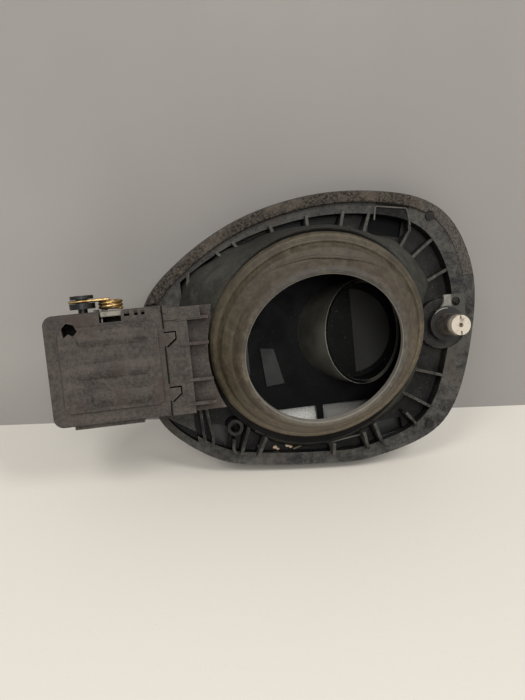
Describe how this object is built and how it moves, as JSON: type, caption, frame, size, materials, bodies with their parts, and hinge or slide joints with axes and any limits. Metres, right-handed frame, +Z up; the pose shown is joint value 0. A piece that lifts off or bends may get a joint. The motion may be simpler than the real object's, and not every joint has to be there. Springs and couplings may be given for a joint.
{
  "type": "car fuel filler flap unit",
  "caption": "Fuel filler flap unit with moulded pocket, tilted neck ring, gooseneck hinge, over-centre spring and push latch.",
  "frame": {"origin": "centre of the filler neck's opening at its inner lip", "axes": "+X from the hinge to the latch, +Y out of the car through the flap, +Z up along the hinge pin"},
  "size_m": [0.2426, 0.0733, 0.1562],
  "materials": {
    "housing_plastic": "dusty moulded",
    "cover_plastic": "dusty moulded",
    "neck_rubber": "dusty soft",
    "seal_foam": "grainy foam",
    "steel": "plain",
    "spring_wire": "yellow passivated steel wire",
    "latch_plastic": "moulded",
    "pale_plastic": "moulded",
    "arm_plastic": "moulded",
    "holder_plastic": "satin moulded",
    "body_paint": "silver grey paint",
    "stop_rubber": "plain"
  },
  "bodies": {
    "housing": {"pocket_housing": "housing_plastic", "neck_bowl": "housing_plastic", "hinge_case": "cover_plastic", "latch_seat": "housing_plastic", "neck_ring": "neck_rubber", "rim_seal": "seal_foam", "hinge_cover": "cover_plastic", "hinge_pin": "steel", "hinge_spring": "spring_wire", "spring_block": "latch_plastic", "latch_bracket": "latch_plastic", "latch_sleeve": "latch_plastic", "latch_end_cap": "pale_plastic", "latch_spring": "steel", "upper_stop": "stop_rubber", "lower_stop": "stop_rubber"},
    "flap": {"hinge_arm": "arm_plastic", "spring_crank": "arm_plastic", "flap_carrier": "arm_plastic", "flap_skin": "body_paint", "cap_holder": "holder_plastic", "holder_pad": "holder_plastic", "latch_striker": "latch_plastic"},
    "plunger": {"latch_plunger": "pale_plastic"},
    "head": {"latch_head": "latch_plastic"}
  },
  "joints": [
    {"name": "flap_hinge", "type": "hinge", "parent": "housing", "child": "flap", "pos_m": [-0.114, 0.0305, 0.0035], "axis": [0, 0, 1], "range_deg": [0, 85], "stiffness_Nm_per_rad": 0.05, "springref_deg": -17.19, "deforming": ["hinge_spring"]},
    {"name": "latch_press", "type": "slide", "parent": "housing", "child": "plunger", "axis": [0, -1, 0], "range_m": [0, 0.0035], "stiffness_N_per_m": 600, "springref_m": -0.002, "deforming": ["latch_spring"]},
    {"name": "latch_turn", "type": "hinge", "parent": "plunger", "child": "head", "pos_m": [0.0805, 0.05, 0.005], "axis": [0, -1, 0], "range_deg": [0, 90]}
  ],
  "couplings": [
    {"joint": "latch_turn", "follows": "latch_press", "rad_per_m": 448.79}
  ]
}
